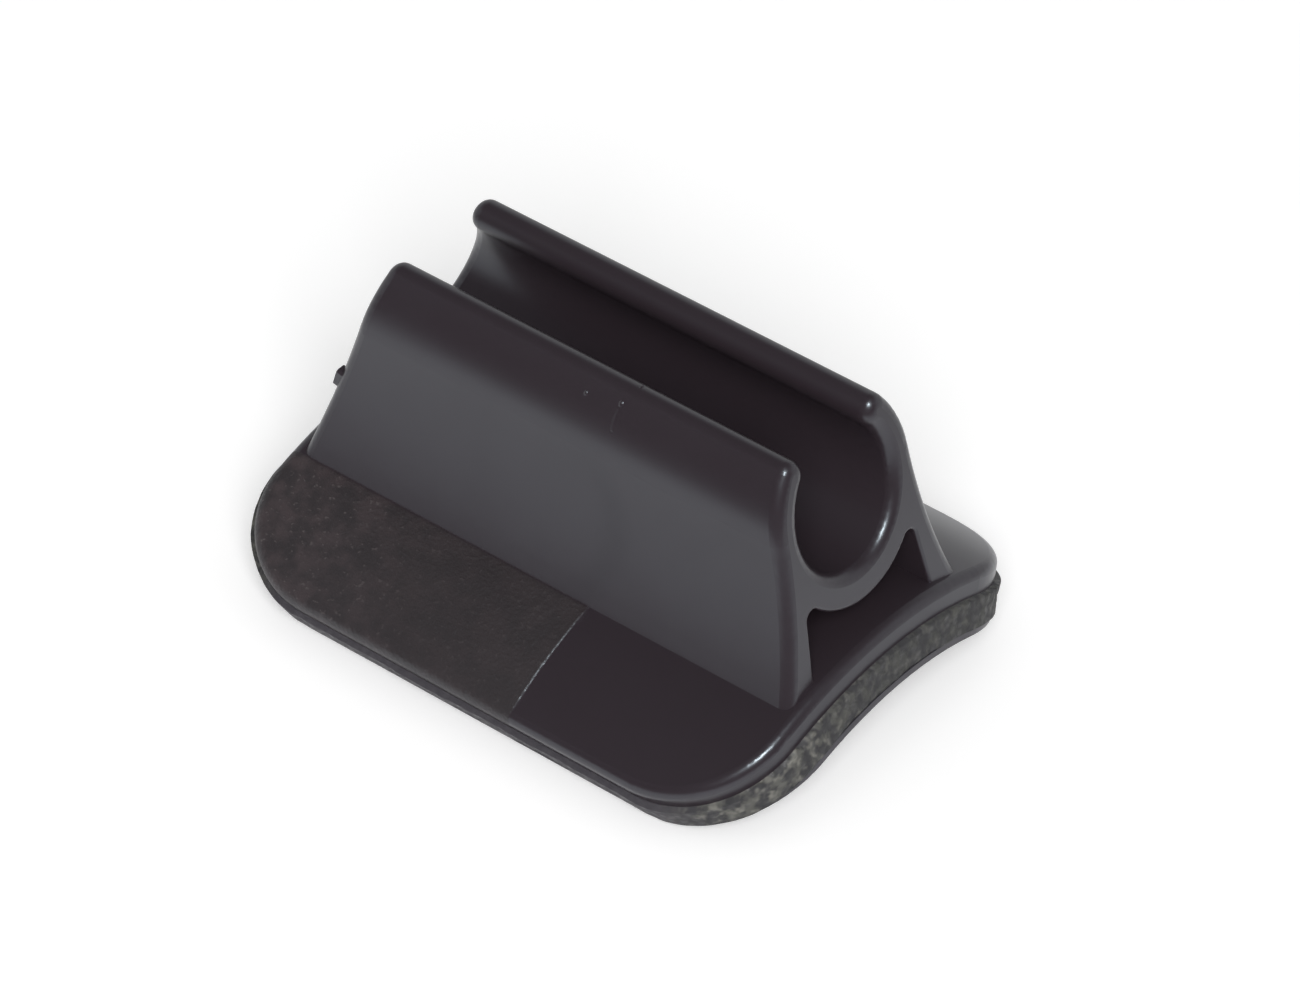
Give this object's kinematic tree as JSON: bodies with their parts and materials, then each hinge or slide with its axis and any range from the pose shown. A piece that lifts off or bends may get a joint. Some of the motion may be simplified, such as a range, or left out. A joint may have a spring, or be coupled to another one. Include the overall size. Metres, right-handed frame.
{
  "type": "adhesive cable clip",
  "caption": "Snap-in cable clip: open jaws on legs over an arched base plate, with a foam adhesive pad and its liner underneath, to hold a cable along a round tube.",
  "frame": {"origin": "under the middle of the clip, at the level of the liner's two long lower edges", "axes": "+X along the cable channel, +Y across the clip, +Z away from the tube towards the mouth of the jaws"},
  "size_m": [0.0232, 0.018, 0.0118],
  "materials": {
    "clip_plastic": "satin, part grained",
    "foam": "cut foam edge",
    "liner_film": "smooth film"
  },
  "bodies": {
    "root": {"clip_body": "clip_plastic", "foam_pad": "foam", "release_liner": "liner_film"}
  },
  "joints": []
}
